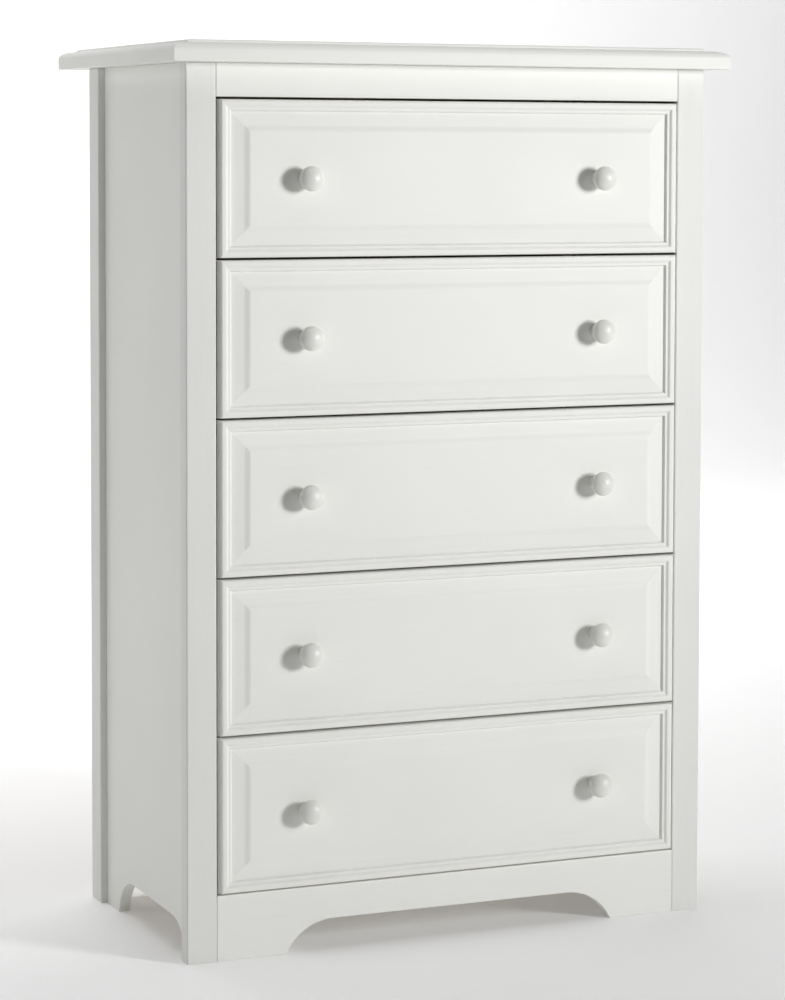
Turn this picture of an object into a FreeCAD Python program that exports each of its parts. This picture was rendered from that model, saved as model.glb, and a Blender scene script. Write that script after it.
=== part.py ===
import FreeCAD, Part
import math
import os
import Sketcher

# A tall chest of five drawers in painted wood, in millimetres.
# +Z is up and the drawers open towards -Y. The origin is on the floor, at the centre of the
# rectangle that the top panel and the knobs cover. Left is -X, as seen from the front.

Vector = FreeCAD.Vector
doc = FreeCAD.newDocument("tall_chest")

# ---------------------------------------------------------------- sizes

SIZES = {
    "overall_height": (1200, "floor to the upper face of the top panel"),
    "body_width": (750, "across the outer faces of the front stiles"),
    "body_depth": (396, "front face of the stiles to the rear face of the rear posts"),
    "top_thickness": (29, "top panel"),
    "top_front_overhang": (31, "top panel past the front of the stiles"),
    "top_side_overhang": (25, "top panel past the outer face of the stiles"),
    "top_rear_overhang": (98, "top panel past the rear face of the rear posts"),
    "top_band_height": (15, "upright lower band of the top panel's edge"),
    "ovolo_width": (20.5, "round part of the top panel's edge, measured inwards"),
    "ovolo_height": (10, "round part of the top panel's edge, measured upwards"),
    "top_fillet_width": (6, "flat ledge between the round part and the raised face"),
    "stile_width": (41, "front stile, across"),
    "stile_thickness": (23, "front stile, front to back"),
    "side_thickness": (16, "side panel"),
    "post_width": (33, "rear post, across"),
    "post_depth": (43, "rear post, front to back"),
    "post_proud": (9.5, "rear post past the outer face of the side panel"),
    "rail_thickness": (20, "top rail and apron, front to back"),
    "top_rail_height": (44, "top rail"),
    "apron_height": (87, "floor to the upper edge of the apron"),
    "arch_height": (42, "floor to the top of the apron's cut-out"),
    "arch_radius": (73, "round corners of the apron's cut-out"),
    "foot_length": (96, "foot of the apron, from the stile to the cut-out"),
    "side_arch_height": (52, "floor to the top of the side panel's cut-out"),
    "side_arch_radius": (65, "round corners of the side panel's cut-out"),
    "side_foot_length": (54, "rear foot of the side panel, in front of the rear post"),
    "side_front_rise": (36, "floor to the side panel's lower edge where it meets the stile"),
    "rear_rail_thickness": (18, "rear rails"),
    "rear_rail_height": (70, "rear rails"),
    "rear_rail_floor_gap": (60, "floor to the lower rear rail and the back panel"),
    "back_thickness": (4, "back panel"),
    "back_clearance": (0.5, "back panel to each rear post"),
    "cleat_size": (22, "square section of the cleats and of the corner blocks"),
    "drawer_count": (5, "drawers"),
    "drawer_gap": (3, "between two drawer fronts, and above and below them"),
    "drawer_side_gap": (4, "drawer front to stile"),
    "front_thickness": (18, "drawer front"),
    "front_proud": (6, "drawer front past the face of the stiles"),
    "front_edge_round": (3.5, "round outer edge of the drawer front"),
    "band_width": (8.5, "outer band of the drawer front"),
    "bead_width": (5, "bead of the drawer front, from the band inwards"),
    "bead_drop": (2.5, "band down to the top of the bead"),
    "bevel_inset": (16, "edge of the drawer front to the foot of its bevel"),
    "bevel_drop": (6, "band down to the foot of the bevel"),
    "bevel_width": (20, "bevel of the drawer front"),
    "bevel_rise": (3.2, "foot of the bevel up to its head"),
    "field_inset": (37, "edge of the drawer front to its raised field"),
    "field_chamfer": (2.5, "sloped edge of the raised field"),
    "box_side_thickness": (12, "drawer sides and back"),
    "box_height": (150, "drawer sides"),
    "box_lift": (22, "lower edge of the drawer front up to the drawer sides"),
    "box_rear_clearance": (25, "drawer back to the rear rails"),
    "box_back_drop": (12, "top of the drawer sides down to the top of the drawer back"),
    "bottom_thickness": (4, "drawer bottom"),
    "bottom_rise": (10, "lower edge of the drawer side to the groove of the bottom"),
    "groove_depth": (6, "groove of the drawer bottom"),
    "groove_clearance": (0.2, "drawer bottom in its grooves, at each face"),
    "runner_space": (12.7, "stile to drawer side"),
    "runner_gauge": (1.2, "sheet of the runners"),
    "channel_height": (34, "cabinet runner"),
    "channel_floor": (11, "lower flange of the cabinet runner"),
    "channel_roof": (9, "upper flange of the cabinet runner"),
    "channel_lip": (5, "upturned lip of the cabinet runner"),
    "channel_setback": (14, "face of the stiles to the front of the cabinet runner"),
    "channel_rear_gap": (6, "rear of the cabinet runner to the rear post"),
    "rail_flange_height": (15, "wrapped flange of the drawer runner up to its sliding flange"),
    "rail_flange_reach": (9.7, "sliding flange of the drawer runner"),
    "rail_height": (22, "web of the drawer runner"),
    "rail_wrap": (11, "flange of the drawer runner under the drawer side"),
    "rail_shortfall": (20, "drawer side past the rear of its runner"),
    "rail_clearance": (8, "floor of the cabinet runner up to the drawer runner"),
    "runner_overlap": (50, "drawer runner still in the cabinet runner with the drawer out"),
    "stop_thickness": (3, "stop lugs of the runners"),
    "stop_clearance": (0.5, "stop lugs with the drawer out"),
    "batten_height": (42, "battens that carry the cabinet runners"),
    "knob_spacing": (423, "between the two knobs of a drawer"),
    "knob_diameter": (33, "knob"),
    "knob_projection": (29, "drawer front to the crown of the knob"),
    "knob_neck_diameter": (19, "neck of the knob"),
    "knob_collar_diameter": (22, "collar of the knob"),
    "knob_collar_height": (2.5, "collar of the knob"),
    "knob_neck_height": (7.5, "drawer front to the underside of the knob's head"),
    "knob_dome_height": (11.5, "widest ring of the knob to its crown"),
    "knob_shoulder_radius": (10, "underside of the knob's head"),
    "screw_diameter": (4, "machine screw of a knob"),
    "screw_clearance": (0.4, "hole of a screw, added to its diameter"),
    "screw_grip": (12, "knob screw inside the knob"),
    "wood_screw_diameter": (3.5, "wood screws of the runners and of the top panel"),
    "wood_screw_length": (16, "wood screws of the runners"),
    "top_screw_length": (38, "wood screws of the top panel"),
    "screw_inset": (45, "end of a runner to its screw, and end of a cleat to its screw"),
    "edge_ease": (1.5, "eased long edges of stiles and posts"),
}

LAYOUT = {
    "half_width": "Sizes.body_width / 2",
    "body_height": "Sizes.overall_height - Sizes.top_thickness",
    "knob_reach": "Sizes.front_proud + Sizes.knob_projection",
    "front_y": "(knob_reach - Sizes.body_depth - Sizes.top_rear_overhang) / 2",
    "rear_y": "front_y + Sizes.body_depth",
    "post_y": "rear_y - Sizes.post_depth",
    "panel_y": "front_y + Sizes.stile_thickness",
    "opening_half": "half_width - Sizes.stile_width",
    "panel_inner": "half_width - Sizes.side_thickness",
    "post_outer": "half_width + Sizes.post_proud",
    "post_inner": "post_outer - Sizes.post_width",
    "top_width": "Sizes.body_width + 2 * Sizes.top_side_overhang",
    "top_depth": "Sizes.body_depth + Sizes.top_front_overhang + Sizes.top_rear_overhang",
    "opening_height": "body_height - Sizes.top_rail_height - Sizes.apron_height",
    "drawer_pitch": "(opening_height - Sizes.drawer_gap) / Sizes.drawer_count",
    "front_height": "drawer_pitch - Sizes.drawer_gap",
    "front_width": "2 * (opening_half - Sizes.drawer_side_gap)",
    "box_front_y": "front_y - Sizes.front_proud + Sizes.front_thickness",
    "box_half": "opening_half - Sizes.runner_space",
    "rear_rail_y": "rear_y - Sizes.back_thickness - Sizes.rear_rail_thickness",
    "box_depth": "rear_rail_y - Sizes.box_rear_clearance - box_front_y",
    "batten_length": "post_y - panel_y",
    "batten_thickness": "panel_inner - opening_half",
    "channel_y": "front_y + Sizes.channel_setback",
    "channel_length": "post_y - Sizes.channel_rear_gap - channel_y",
    "rail_length": "box_depth - Sizes.rail_shortfall",
    "rail_rear_y": "box_front_y + rail_length",
    "drawer_travel": "rail_length - Sizes.runner_overlap",
    "bottom_width": "2 * (box_half - Sizes.box_side_thickness + Sizes.groove_depth - Sizes.groove_clearance)",
    "foot_inner": "opening_half - Sizes.foot_length",
    "arch_run": "sqrt(2 * Sizes.arch_radius * Sizes.arch_height - Sizes.arch_height ^ 2)",
    "arch_flat": "foot_inner - arch_run",
    "knob_girth_height": "Sizes.knob_projection - Sizes.knob_dome_height",
    "knob_radius": "Sizes.knob_diameter / 2",
    "knob_dome_radius": "(knob_radius ^ 2 + Sizes.knob_dome_height ^ 2) / (2 * Sizes.knob_dome_height)",
    "side_length": "post_y - panel_y",
    "side_arch_run": "sqrt(2 * Sizes.side_arch_radius * Sizes.side_arch_height - Sizes.side_arch_height ^ 2)",
    "side_drop": "Sizes.side_arch_height - Sizes.side_front_rise",
    "side_front_run": "sqrt(2 * Sizes.side_arch_radius * side_drop - side_drop ^ 2)",
}


def fill_sheet(name, cells):
    """Writes one row for each value: its meaning in column A and the value, with its alias, in column B."""
    sheet = doc.addObject("Spreadsheet::Sheet", name)
    for row, (alias, text, meaning) in enumerate(cells, 1):
        sheet.set(f"A{row}", meaning)
        sheet.set(f"B{row}", text)
        sheet.setAlias(f"B{row}", alias)
    doc.recompute()
    return sheet


fill_sheet("Sizes", [(alias, str(value), meaning) for alias, (value, meaning) in SIZES.items()])
layout = fill_sheet("Layout", [(alias, "=" + text, alias.replace("_", " ")) for alias, text in LAYOUT.items()])

# ---------------------------------------------------------------- drawing and building tools

# Turns a piece drawn upright on its own XY plane so that it faces the front of the chest.
FACING_FRONT = FreeCAD.Rotation(Vector(1, 0, 0), 90)
# Turns a piece drawn on its own XY plane so that X runs to the rear and Y runs up.
ON_ITS_SIDE = FreeCAD.Rotation(Vector(1, 1, 1), 120)
UPRIGHT = FreeCAD.Rotation()
POINTING_LEFT = FreeCAD.Rotation(Vector(0, 1, 0), -90)
POINTING_RIGHT = FreeCAD.Rotation(Vector(0, 1, 0), 90)

# Sketcher's own numbers for a sketch's origin and axes.
ORIGIN = -1
HORIZONTAL_AXIS = -1
VERTICAL_AXIS = -2


def new_body(label):
    body = doc.addObject("PartDesign::Body", label)
    body.Label = label
    return body


def new_sketch(body, role="XY_Plane", lift=None):
    """A sketch on one of the body's own origin planes, raised by the expression lift if there is one."""
    sketch = body.newObject("Sketcher::SketchObject", body.Name + "_sketch")
    support = [feature for feature in body.Origin.OriginFeatures if feature.Role == role]
    sketch.AttachmentSupport = [(support[0], "")]
    sketch.MapMode = "FlatFace"
    if lift:
        sketch.setExpression("AttachmentOffset.Base.z", lift)
    return sketch


def pin(sketch, edge, end, x, y):
    """Holds one point of a sketch edge at x, y: two expressions, measured from the sketch's origin."""
    for kind, zero_axis, value in (("DistanceX", VERTICAL_AXIS, x), ("DistanceY", HORIZONTAL_AXIS, y)):
        if value == "0":
            sketch.addConstraint(Sketcher.Constraint("PointOnObject", edge, end, zero_axis))
            continue
        distance = Sketcher.Constraint(kind, ORIGIN, 1, edge, end, float(sketch.evalExpression(value)))
        number = sketch.addConstraint(distance)
        sketch.setExpression(f"Constraints[{number}]", value)


def outline(sketch, corners, arcs=None):
    """Draws a closed line through the corners, which are pairs of expressions.

    arcs gives the edges that are round: the number of the corner that the edge leaves, to its
    centre's two expressions, its radius and its turn, 1 for anticlockwise and -1 for clockwise.
    An arc whose centre lies on the vertical axis is held there, and its radius follows.
    """
    arcs = arcs or {}
    points = [Vector(*(float(sketch.evalExpression(value)) for value in corner), 0) for corner in corners]
    first = sketch.GeometryCount
    starts = []
    for number, start in enumerate(points):
        end = points[(number + 1) % len(points)]
        if number not in arcs:
            sketch.addGeometry(Part.LineSegment(start, end))
            starts.append(1)
            continue
        centre_x, centre_y, radius, turn = arcs[number]
        centre = Vector(float(sketch.evalExpression(centre_x)), float(sketch.evalExpression(centre_y)), 0)
        circle = Part.Circle(centre, Vector(0, 0, 1), float(sketch.evalExpression(radius)))
        ends = [start, end] if turn > 0 else [end, start]
        angles = [math.atan2(point.y - centre.y, point.x - centre.x) for point in ends]
        sketch.addGeometry(Part.ArcOfCircle(circle, *angles))
        starts.append(1 if turn > 0 else 2)
    for number, corner in enumerate(corners):
        edge = first + number
        before = (number - 1) % len(corners)
        end_before = 3 - starts[before]
        sketch.addConstraint(Sketcher.Constraint("Coincident", edge, starts[number], first + before, end_before))
        pin(sketch, edge, starts[number], *corner)
    for number, (centre_x, _, radius, _) in arcs.items():
        if centre_x == "0":
            sketch.addConstraint(Sketcher.Constraint("PointOnObject", first + number, 3, VERTICAL_AXIS))
            continue
        size = float(sketch.evalExpression(radius))
        rounded = sketch.addConstraint(Sketcher.Constraint("Radius", first + number, size))
        sketch.setExpression(f"Constraints[{rounded}]", radius)


def rectangle(sketch, left, low, right, high):
    outline(sketch, [(left, low), (right, low), (right, high), (left, high)])


def circle(sketch, x, y, diameter):
    """A full circle at x, y, for a hole."""
    centre = Vector(float(sketch.evalExpression(x)), float(sketch.evalExpression(y)), 0)
    radius = float(sketch.evalExpression(diameter)) / 2
    edge = sketch.addGeometry(Part.Circle(centre, Vector(0, 0, 1), radius))
    pin(sketch, edge, 3, x, y)
    number = sketch.addConstraint(Sketcher.Constraint("Radius", edge, radius))
    sketch.setExpression(f"Constraints[{number}]", f"({diameter}) / 2")


def pad(body, sketch, length):
    feature = body.newObject("PartDesign::Pad", body.Name + "_pad")
    feature.Profile = sketch
    feature.setExpression("Length", length)
    body.Tip = feature
    return feature


def cut_through(body, sketch):
    """Cuts the sketch right through the body, both ways, and makes sure that it took material away."""
    doc.recompute()
    before = body.Shape.Volume
    feature = body.newObject("PartDesign::Pocket", body.Name + "_cut")
    feature.Profile = sketch
    feature.Type = "ThroughAll"
    feature.Midplane = True
    body.Tip = feature
    doc.recompute()
    if not body.Shape.Volume < before - 1:
        raise RuntimeError(f"a cut in {body.Label} takes nothing away")
    return feature


def soften(body, kind, size_name, size, chosen):
    """Rounds or chamfers the edges of the body's last feature for which chosen(edge) is true."""
    doc.recompute()
    last = body.Tip
    names = [f"Edge{number}" for number, edge in enumerate(last.Shape.Edges, 1) if chosen(edge)]
    if not names:
        raise RuntimeError(f"{body.Label} has no edge to soften")
    feature = body.newObject("PartDesign::" + kind, body.Name + "_soft")
    feature.Base = (last, names)
    feature.setExpression(size_name, size)
    body.Tip = feature
    return feature


def turn_round(body, corners, arcs=None):
    """Revolves an outline of (radius, height) corners about the body's own Z axis."""
    sketch = new_sketch(body, "XZ_Plane")
    outline(sketch, corners, arcs)
    feature = body.newObject("PartDesign::Revolution", body.Name + "_turned")
    feature.Profile = sketch
    feature.ReferenceAxis = (sketch, ["V_Axis"])
    feature.Angle = 360
    body.Tip = feature
    return feature


def place(piece, x, y, z, rotation=UPRIGHT):
    """Puts a piece's own origin at x, y, z, which are expressions."""
    piece.Placement = FreeCAD.Placement(Vector(), rotation)
    for axis, value in zip("xyz", (x, y, z)):
        piece.setExpression(f"Placement.Base.{axis}", value)
    return piece


def board(label, x, y, z, wide, deep, high):
    """A rectangular board whose left, front and lower corner is at x, y, z."""
    body = new_body(label)
    sketch = new_sketch(body)
    rectangle(sketch, "0", "0", wide, deep)
    pad(body, sketch, high)
    return place(body, x, y, z)


def group(label, members):
    """Puts separate solids of one kind into one named sub-part."""
    compound = doc.addObject("Part::Compound", label)
    compound.Label = label
    compound.Links = members
    return compound


def is_upright(edge):
    along = edge.tangentAt(edge.FirstParameter)
    return edge.Curve.TypeId == "Part::GeomLine" and abs(along.z) > 0.99


def mirrored(side, distance, width):
    """The x of the left edge of a piece of that width whose outer face is at distance on that side."""
    return f"-({distance})" if side == "left" else f"{distance} - ({width})"


nodes = []
SIDES = ("left", "right")

# ---------------------------------------------------------------- carcass

# Top panel: a flat board whose front and side edges carry a round moulding above an upright band.
# Each cutter runs straight through, so the mouldings meet in mitred corners. The rear edge is square.
top = board(
    "top_panel",
    "-Layout.top_width / 2",
    "Layout.front_y - Sizes.top_front_overhang",
    "Layout.body_height",
    "Layout.top_width",
    "Layout.top_depth",
    "Sizes.top_thickness",
)
LEDGE_INSET = "(Sizes.ovolo_width + Sizes.top_fillet_width)"
LEDGE_HEIGHT = "(Sizes.top_band_height + Sizes.ovolo_height)"
ABOVE = "(Sizes.top_thickness + 1)"
# The quarter round is drawn as one arc from the band's upper edge to the ledge.
OVOLO_RADIUS = "(Sizes.ovolo_width ^ 2 + Sizes.ovolo_height ^ 2) / (2 * Sizes.ovolo_height)"
for plane, starts in (("YZ_Plane", ("0",)), ("XZ_Plane", ("0", "Layout.top_width"))):
    cutter = new_sketch(top, plane)
    for start in starts:
        sign = "" if start == "0" else f"{start} - "
        outward = "-1" if start == "0" else f"{start} + 1"
        outline(
            cutter,
            [
                (outward, "Sizes.top_band_height"),
                (start, "Sizes.top_band_height"),
                (f"{sign}Sizes.ovolo_width", LEDGE_HEIGHT),
                (f"{sign}{LEDGE_INSET}", LEDGE_HEIGHT),
                (f"{sign}{LEDGE_INSET}", ABOVE),
                (outward, ABOVE),
            ],
            {
                1: (
                    f"{sign}Sizes.ovolo_width",
                    f"{LEDGE_HEIGHT} - {OVOLO_RADIUS}",
                    OVOLO_RADIUS,
                    -1 if start == "0" else 1,
                )
            },
        )
    cut_through(top, cutter)
nodes.append(top)

for side in SIDES:
    # Side panel: behind the stile and flush with it. A low arch leaves a foot in front of the rear post.
    panel = new_body(f"{side}_side_panel")
    drawing = new_sketch(panel)
    rear_foot = "Layout.side_length - Sizes.side_foot_length"
    rear_flat = f"{rear_foot} - Layout.side_arch_run"
    arch_centre = "Sizes.side_arch_height - Sizes.side_arch_radius"
    outline(
        drawing,
        [
            ("0", "Sizes.side_front_rise"),
            ("Layout.side_front_run", "Sizes.side_arch_height"),
            (rear_flat, "Sizes.side_arch_height"),
            (rear_foot, "0"),
            ("Layout.side_length", "0"),
            ("Layout.side_length", "Layout.body_height"),
            ("0", "Layout.body_height"),
        ],
        {
            0: ("Layout.side_front_run", arch_centre, "Sizes.side_arch_radius", -1),
            2: (rear_flat, arch_centre, "Sizes.side_arch_radius", -1),
        },
    )
    pad(panel, drawing, "Sizes.side_thickness")
    panel_x = mirrored(side, "Layout.half_width", "Sizes.side_thickness")
    nodes.append(place(panel, panel_x, "Layout.panel_y", "0", ON_ITS_SIDE))

    # Front stile: a full-height leg with eased corners.
    stile = board(
        f"{side}_front_stile",
        mirrored(side, "Layout.half_width", "Sizes.stile_width"),
        "Layout.front_y",
        "0",
        "Sizes.stile_width",
        "Sizes.stile_thickness",
        "Layout.body_height",
    )
    soften(
        stile, "Fillet", "Radius", "Sizes.edge_ease", lambda edge: is_upright(edge) and edge.CenterOfMass.y < 0.1
    )
    nodes.append(stile)

    # Rear post: stands proud of the side panel.
    post = board(
        f"{side}_rear_post",
        mirrored(side, "Layout.post_outer", "Sizes.post_width"),
        "Layout.post_y",
        "0",
        "Sizes.post_width",
        "Sizes.post_depth",
        "Layout.body_height",
    )
    soften(post, "Fillet", "Radius", "Sizes.edge_ease", is_upright)
    nodes.append(post)

nodes.append(
    board(
        "top_rail",
        "-Layout.opening_half",
        "Layout.front_y",
        "Layout.body_height - Sizes.top_rail_height",
        "2 * Layout.opening_half",
        "Sizes.rail_thickness",
        "Sizes.top_rail_height",
    )
)

# Apron: the lower front rail. Its cut-out leaves a foot beside each stile.
apron = new_body("apron")
drawing = new_sketch(apron)
arch_centre = "Sizes.arch_height - Sizes.arch_radius"
outline(
    drawing,
    [
        ("-Layout.opening_half", "0"),
        ("-Layout.foot_inner", "0"),
        ("-Layout.arch_flat", "Sizes.arch_height"),
        ("Layout.arch_flat", "Sizes.arch_height"),
        ("Layout.foot_inner", "0"),
        ("Layout.opening_half", "0"),
        ("Layout.opening_half", "Sizes.apron_height"),
        ("-Layout.opening_half", "Sizes.apron_height"),
    ],
    {
        1: ("-Layout.arch_flat", arch_centre, "Sizes.arch_radius", -1),
        3: ("Layout.arch_flat", arch_centre, "Sizes.arch_radius", -1),
    },
)
pad(apron, drawing, "Sizes.rail_thickness")
nodes.append(place(apron, "0", "Layout.front_y + Sizes.rail_thickness", "0", FACING_FRONT))

for label, height in (
    ("rear_top_rail", "Layout.body_height - Sizes.rear_rail_height"),
    ("rear_bottom_rail", "Sizes.rear_rail_floor_gap"),
):
    nodes.append(
        board(
            label,
            "-Layout.post_inner",
            "Layout.rear_rail_y",
            height,
            "2 * Layout.post_inner",
            "Sizes.rear_rail_thickness",
            "Sizes.rear_rail_height",
        )
    )

# Back panel: nailed to the rear rails, between the rear posts.
nodes.append(
    board(
        "back_panel",
        "Sizes.back_clearance - Layout.post_inner",
        "Layout.rear_y - Sizes.back_thickness",
        "Sizes.rear_rail_floor_gap",
        "2 * (Layout.post_inner - Sizes.back_clearance)",
        "Sizes.back_thickness",
        "Layout.body_height - Sizes.rear_rail_floor_gap",
    )
)

# Top cleats: along the side panels, under the top panel.
cleats = []
for side in SIDES:
    cleats.append(
        board(
            f"{side}_top_cleat",
            mirrored(side, "Layout.panel_inner", "Sizes.cleat_size"),
            "Layout.panel_y",
            "Layout.body_height - Sizes.cleat_size",
            "Sizes.cleat_size",
            "Layout.batten_length",
            "Sizes.cleat_size",
        )
    )
nodes.append(group("top_cleats", cleats))

# Corner blocks: glued behind the apron, in the corner of stile and side panel.
blocks = []
for side in SIDES:
    blocks.append(
        board(
            f"{side}_corner_block",
            mirrored(side, "Layout.panel_inner", "Sizes.cleat_size + Layout.batten_thickness"),
            "Layout.panel_y",
            "Sizes.side_arch_height",
            "Sizes.cleat_size + Layout.batten_thickness",
            "Sizes.cleat_size",
            "Sizes.apron_height - Sizes.side_arch_height",
        )
    )
nodes.append(group("corner_blocks", blocks))


def drawer_base(number):
    """The height of the lower edge of a drawer's front. Drawer 1 is the top one."""
    return f"(Sizes.apron_height + Sizes.drawer_gap + (Sizes.drawer_count - {number}) * Layout.drawer_pitch)"


def box_base(number):
    """The height of the lower edge of a drawer's sides."""
    return f"({drawer_base(number)} + Sizes.box_lift)"


def channel_base(number):
    """The height of the underside of a drawer's cabinet runners."""
    return f"({box_base(number)} - 2 * Sizes.runner_gauge - Sizes.rail_clearance)"


def wood_screw(label, length):
    """A countersunk screw whose head is flush at its own origin and whose point runs to +Z."""
    body = new_body(label)
    shank = "Sizes.wood_screw_diameter / 2"
    turn_round(
        body,
        [
            ("0", "0"),
            ("Sizes.wood_screw_diameter", "0"),
            (shank, shank),
            (shank, f"{length} - Sizes.wood_screw_diameter"),
            ("0", length),
        ],
    )
    return body


DRAWERS = range(1, int(layout.Document.Sizes.drawer_count) + 1)

# Battens and cabinet runners: the batten fills the side panel out to the inner face of the stile,
# and the runner, a channel with a lip, is screwed to both. Its lug stops the drawer.
runner_screws = []
for side in SIDES:
    battens = []
    channels = []
    out = -1 if side == "left" else 1
    for number in DRAWERS:
        battens.append(
            board(
                f"{side}_batten_{number}",
                mirrored(side, "Layout.panel_inner", "Layout.batten_thickness"),
                "Layout.panel_y",
                f"{channel_base(number)} + (Sizes.channel_height - Sizes.batten_height) / 2",
                "Layout.batten_thickness",
                "Layout.batten_length",
                "Sizes.batten_height",
            )
        )
        channel = new_body(f"{side}_channel_{number}")
        section = new_sketch(channel)
        inward = "" if side == "left" else "-"
        outline(
            section,
            [
                ("0", "0"),
                (f"{inward}Sizes.channel_floor", "0"),
                (f"{inward}Sizes.channel_floor", "Sizes.channel_lip"),
                (f"{inward}(Sizes.channel_floor - Sizes.runner_gauge)", "Sizes.channel_lip"),
                (f"{inward}(Sizes.channel_floor - Sizes.runner_gauge)", "Sizes.runner_gauge"),
                (f"{inward}Sizes.runner_gauge", "Sizes.runner_gauge"),
                (f"{inward}Sizes.runner_gauge", "Sizes.channel_height - Sizes.runner_gauge"),
                (f"{inward}Sizes.channel_roof", "Sizes.channel_height - Sizes.runner_gauge"),
                (f"{inward}Sizes.channel_roof", "Sizes.channel_height"),
                ("0", "Sizes.channel_height"),
            ],
        )
        pad(channel, section, "Layout.channel_length")
        channel_end = "(Layout.channel_y + Layout.channel_length)"
        # The lug hangs from the roof, just in front of the drawer runner's lug with the drawer out.
        lug_rear = (
            f"({channel_end} - (Layout.rail_rear_y - Sizes.stop_thickness"
            " - Layout.drawer_travel - Sizes.stop_clearance))"
        )
        lug = new_sketch(channel, lift=lug_rear)
        lug_low = "Sizes.channel_height - Sizes.runner_gauge - Sizes.channel_lip"
        rectangle(
            lug,
            f"{inward}Sizes.runner_gauge",
            lug_low,
            f"{inward}Sizes.channel_roof",
            "Sizes.channel_height - Sizes.runner_gauge",
        )
        pad(channel, lug, "Sizes.stop_thickness")
        holes = new_sketch(channel, "YZ_Plane")
        hole_places = ("Sizes.screw_inset", "Layout.channel_length - Sizes.screw_inset")
        for along in hole_places:
            circle(
                holes,
                "Sizes.channel_height / 2",
                along,
                "Sizes.wood_screw_diameter + Sizes.screw_clearance",
            )
        cut_through(channel, holes)
        place(channel, f"{out} * Layout.opening_half", channel_end, channel_base(number), FACING_FRONT)
        channels.append(channel)
        for count, along in enumerate(hole_places):
            screw = wood_screw(f"{side}_runner_screw_{number}_{count}", "Sizes.wood_screw_length")
            head = "(Layout.opening_half - Sizes.runner_gauge - Sizes.wood_screw_diameter / 2)"
            place(
                screw,
                f"{out} * {head}",
                f"{channel_end} - ({along})",
                f"{channel_base(number)} + Sizes.channel_height / 2",
                POINTING_LEFT if side == "left" else POINTING_RIGHT,
            )
            runner_screws.append(screw)
    nodes.append(group(f"{side}_runner_battens", battens))
    nodes.append(group(f"{side}_cabinet_runners", channels))
nodes.append(group("runner_screws", runner_screws))

# Top screws: up through the cleats into the top panel, which keeps its face unbroken.
top_screws = []
for side in SIDES:
    out = -1 if side == "left" else 1
    for count, along in enumerate(("Sizes.screw_inset", "Layout.batten_length - Sizes.screw_inset")):
        screw = wood_screw(f"{side}_top_screw_{count}", "Sizes.top_screw_length")
        place(
            screw,
            f"{out} * (Layout.panel_inner - Sizes.cleat_size / 2)",
            f"Layout.panel_y + {along}",
            "Layout.body_height - Sizes.cleat_size",
        )
        top_screws.append(screw)
nodes.append(group("top_screws", top_screws))

# ---------------------------------------------------------------- drawers


def drawer_front(number):
    """The moulded front: a round-edged band, a bead one step down, a bevel that rises inwards and a raised field."""
    body = new_body(f"drawer_{number}_front")
    foot_level = "Sizes.front_thickness - Sizes.bevel_drop"
    bead_level = "Sizes.front_thickness - Sizes.bead_drop"

    def inset_rectangle(sketch, inset):
        rectangle(sketch, inset, inset, f"Layout.front_width - ({inset})", f"Layout.front_height - ({inset})")

    plate = new_sketch(body)
    inset_rectangle(plate, "0")
    pad(body, plate, foot_level)
    ring = new_sketch(body)
    inset_rectangle(ring, "0")
    inset_rectangle(ring, "Sizes.band_width")
    pad(body, ring, "Sizes.front_thickness")
    face = float(body.evalExpression("Sizes.front_thickness"))
    reach = float(body.evalExpression("Sizes.band_width")) / 2
    width = float(body.evalExpression("Layout.front_width"))
    height = float(body.evalExpression("Layout.front_height"))

    def on_outer_rim(edge):
        middle = edge.CenterOfMass
        from_edge = min(middle.x, width - middle.x, middle.y, height - middle.y)
        return middle.z > face - 0.01 and from_edge < reach

    soften(body, "Fillet", "Radius", "Sizes.front_edge_round", on_outer_rim)
    bead = new_sketch(body)
    inset_rectangle(bead, "Sizes.band_width / 2")
    inset_rectangle(bead, "Sizes.band_width + Sizes.bead_width")
    pad(body, bead, bead_level)
    foot = new_sketch(body, lift=foot_level)
    inset_rectangle(foot, "Sizes.bevel_inset")
    head = new_sketch(body, lift=f"{foot_level} + Sizes.bevel_rise")
    inset_rectangle(head, "Sizes.bevel_inset + Sizes.bevel_width")
    bevel = body.newObject("PartDesign::AdditiveLoft", body.Name + "_bevel")
    bevel.Profile = foot
    bevel.Sections = [head]
    bevel.Ruled = True
    body.Tip = bevel
    field = new_sketch(body)
    inset_rectangle(field, "Sizes.field_inset")
    pad(body, field, "Sizes.front_thickness")
    far_inset = float(body.evalExpression("Sizes.field_inset")) - 0.1

    def on_field_rim(edge):
        middle = edge.CenterOfMass
        from_edge = min(middle.x, width - middle.x, middle.y, height - middle.y)
        return middle.z > face - 0.01 and from_edge > far_inset

    soften(body, "Chamfer", "Size", "Sizes.field_chamfer", on_field_rim)
    holes = new_sketch(body)
    for sign in ("-", "+"):
        circle(
            holes,
            f"Layout.front_width / 2 {sign} Sizes.knob_spacing / 2",
            "Layout.front_height / 2",
            "Sizes.screw_diameter + Sizes.screw_clearance",
        )
    cut_through(body, holes)
    return place(body, "-Layout.front_width / 2", "Layout.box_front_y", drawer_base(number), FACING_FRONT)


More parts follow.
